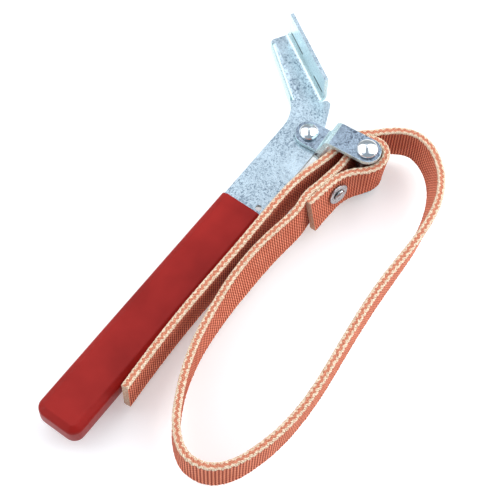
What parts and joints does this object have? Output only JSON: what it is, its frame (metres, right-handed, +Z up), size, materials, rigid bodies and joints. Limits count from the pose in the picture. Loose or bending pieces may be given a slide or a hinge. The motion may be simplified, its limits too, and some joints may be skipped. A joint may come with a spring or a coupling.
{
  "type": "oil filter strap wrench",
  "caption": "Oil filter strap wrench: pressed steel handle with bent heel and sleeve grip, pivoting link of joggled plates, and a riveted webbing strap looping back through the link.",
  "frame": {"origin": "centre of the base of the object's bounding box, as it lies on its side on a bench", "axes": "+X runs along the handle from the grip's end to the head, +Y points from the strap's loop to the handle's left edge, and +Z points up through the sheet and along the pivot pin"},
  "size_m": [0.2203, 0.1235, 0.0324],
  "materials": {
    "zinc_plate": "bright zinc plating on pressed steel, lightly mottled",
    "grip_pvc": "dipped soft PVC, dark red, low gloss",
    "webbing": "woven ribbed webbing, salmon red with cream edge threads",
    "rivet_steel": "bright plated, polished domes"
  },
  "bodies": {
    "handle": {"handle_blank": "zinc_plate", "grip_sleeve": "grip_pvc", "pivot_rivet": "rivet_steel"},
    "link": {"link_plate_top": "zinc_plate", "link_plate_bottom": "zinc_plate", "anchor_rivet": "rivet_steel", "anchor_spacer": "rivet_steel"},
    "strap": {"strap_eye": "webbing", "strap_loop": "webbing", "strap_running": "webbing", "strap_rivet": "rivet_steel", "strap_washer_outer": "rivet_steel", "strap_washer_inner": "rivet_steel"},
    "tail": {"strap_tail": "webbing"}
  },
  "joints": [
    {"name": "link_pivot", "type": "hinge", "parent": "handle", "child": "link", "pos_m": [0.0672, 0.0166, 0.0156], "axis": [0, 0, 1], "range_deg": [0, 60]},
    {"name": "strap_swivel", "type": "hinge", "parent": "link", "child": "strap", "pos_m": [0.0696, -0.0129, 0.0156], "axis": [0, 0, 1], "range_deg": [0, 15]},
    {"name": "strap_feed", "type": "slide", "parent": "strap", "child": "tail", "axis": [-1, 0, 0], "range_m": [0, 0.04]}
  ]
}
